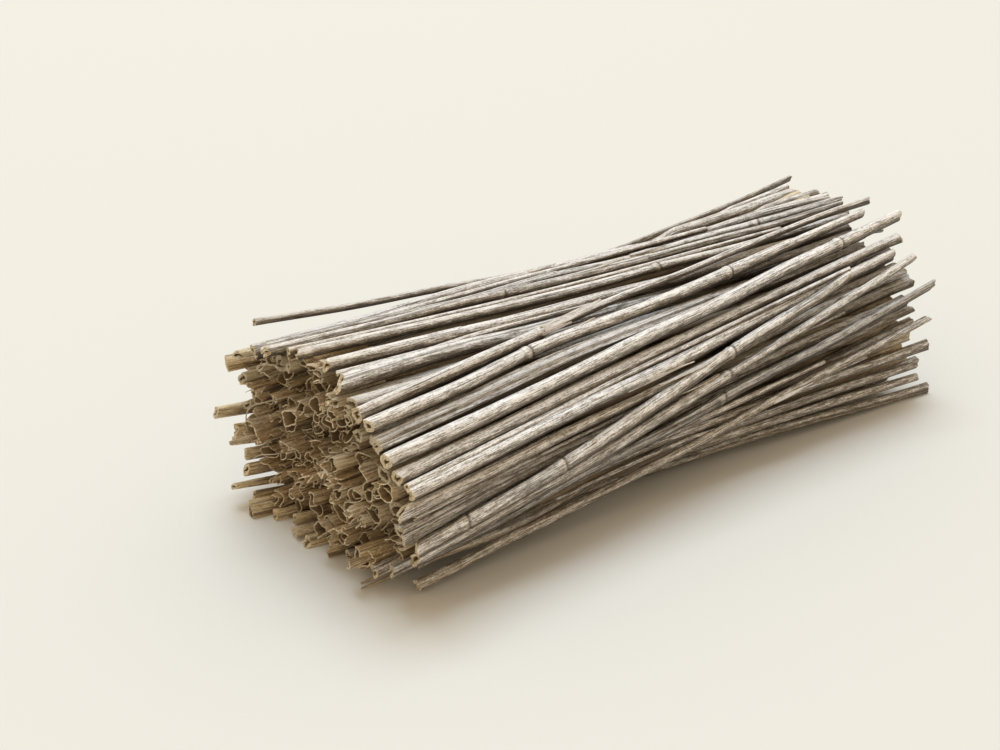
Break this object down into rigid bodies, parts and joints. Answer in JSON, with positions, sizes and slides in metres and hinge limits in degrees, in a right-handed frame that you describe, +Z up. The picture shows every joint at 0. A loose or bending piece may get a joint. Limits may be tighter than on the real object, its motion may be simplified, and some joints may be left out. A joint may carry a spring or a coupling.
{
  "type": "bundle of rice straw",
  "caption": "Loose bundle of cut dry rice straw lying on its side: weathered grey stalks gathered at a slight waist and twisted a little, with ragged cut ends.",
  "frame": {"origin": "on the floor, under the middle of the bundle's box", "axes": "+X along the stalks from the near cut to the far cut, +Y to the back, +Z up"},
  "size_m": [0.1736, 0.0684, 0.0488],
  "materials": {
    "straw": "dry, matte, weathered to a silver grey with fine lengthwise streaks",
    "cut_straw": "dry, matte, warm tan to brown, paler at the cut rims"
  },
  "bodies": {
    "root": {"stalk_01": "straw", "stalk_02": "straw", "stalk_03": "straw", "stalk_04": "straw", "stalk_05": "straw", "stalk_06": "straw", "stalk_07": "straw", "stalk_08": "straw", "stalk_09": "straw", "stalk_10": "straw", "stalk_11": "straw", "stalk_12": "straw", "stalk_13": "straw", "stalk_14": "straw", "stalk_15": "straw", "stalk_16": "straw", "stalk_17": "straw", "stalk_18": "straw", "stalk_19": "straw", "stalk_20": "straw", "stalk_21": "straw", "stalk_22": "straw", "stalk_23": "straw", "stalk_24": "straw", "stalk_25": "straw", "stalk_26": "straw", "stalk_27": "straw", "stalk_28": "straw", "stalk_29": "straw", "stalk_30": "straw", "stalk_31": "straw", "stalk_32": "straw", "stalk_33": "straw", "stalk_34": "straw", "stalk_35": "straw", "stalk_36": "straw", "stalk_37": "straw", "stalk_38": "straw", "stalk_39": "straw", "stalk_40": "straw", "stalk_41": "straw", "stalk_42": "straw", "stalk_43": "straw", "stalk_44": "straw", "stalk_45": "straw", "stalk_46": "straw", "stalk_47": "straw", "stalk_48": "straw", "stalk_49": "straw", "stalk_50": "straw", "stalk_51": "straw", "stalk_52": "straw", "stalk_53": "straw", "stalk_54": "straw", "stalk_55": "straw", "stalk_56": "straw", "stalk_57": "straw", "stalk_58": "straw", "stalk_59": "straw", "middle_stalks": "cut_straw"}
  },
  "joints": []
}
